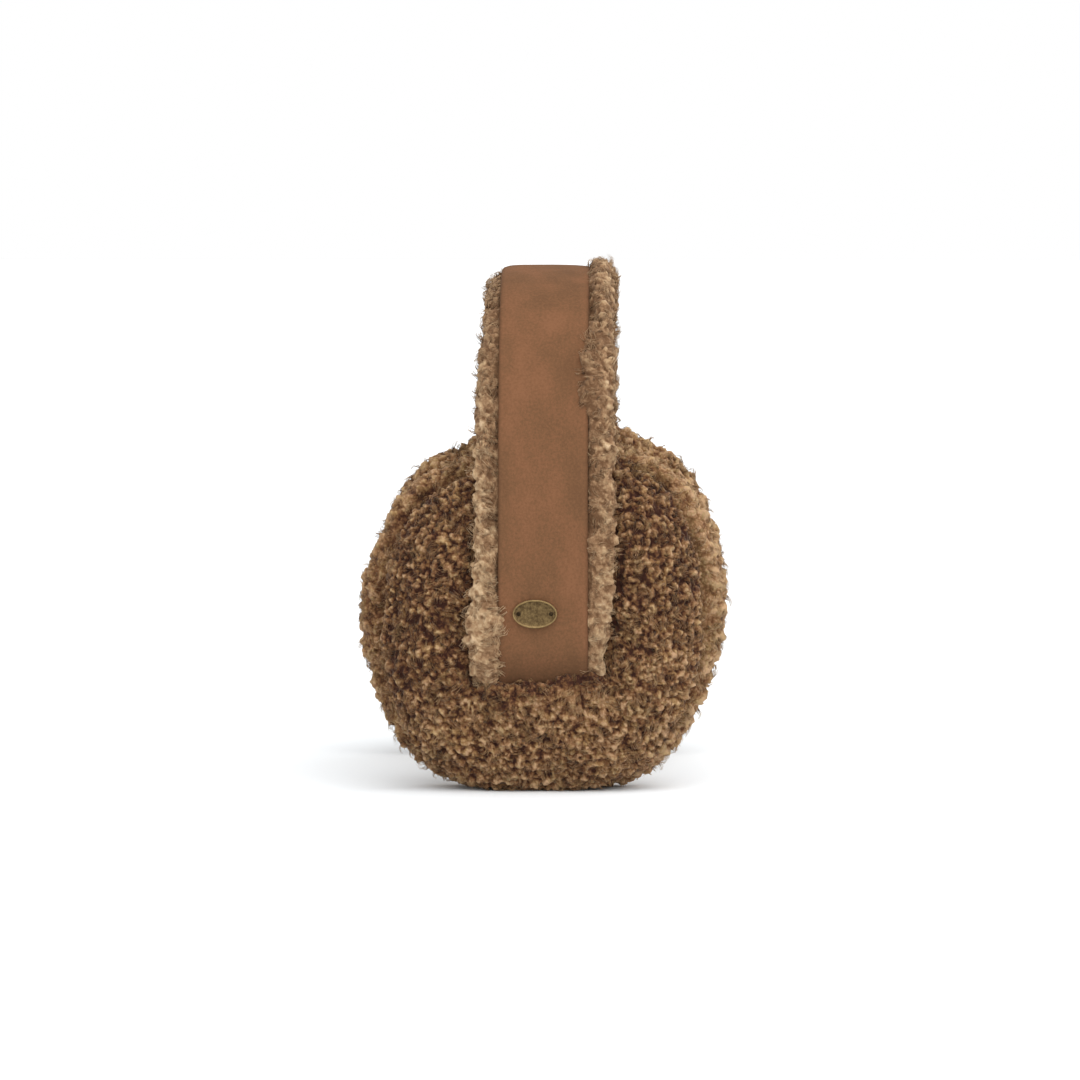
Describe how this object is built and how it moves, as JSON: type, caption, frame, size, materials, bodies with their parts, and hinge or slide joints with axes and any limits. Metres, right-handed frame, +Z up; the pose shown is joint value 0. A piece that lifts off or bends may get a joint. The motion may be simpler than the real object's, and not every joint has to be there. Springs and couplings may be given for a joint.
{
  "type": "shearling earmuffs",
  "caption": "Earmuffs with two round curly shearling cups on a wide suede headband lined with lighter shearling, with a small oval antique brass badge on one side.",
  "frame": {"origin": "on the floor under the middle of the earmuffs, at the bottom centre of their box", "axes": "+Z up, X from ear to ear with the badge at +X, Y from the back to the front of the head"},
  "size_m": [0.1815, 0.1328, 0.1911],
  "materials": {
    "suede": "matt napped suede",
    "lining_shearling": "fluffy light brown shearling",
    "cup_shearling": "tightly curled brown shearling with tan tips",
    "antique_brass": "antiqued, satin",
    "dark_brass": "darkened"
  },
  "bodies": {
    "root": {"headband_strap": "suede", "headband_fur": "lining_shearling", "cup_face_right": "cup_shearling", "cup_rear_right": "cup_shearling", "cup_face_left": "cup_shearling", "cup_rear_left": "cup_shearling", "badge_plate": "antique_brass", "badge_rivet_front": "dark_brass", "badge_rivet_back": "dark_brass"}
  },
  "joints": []
}
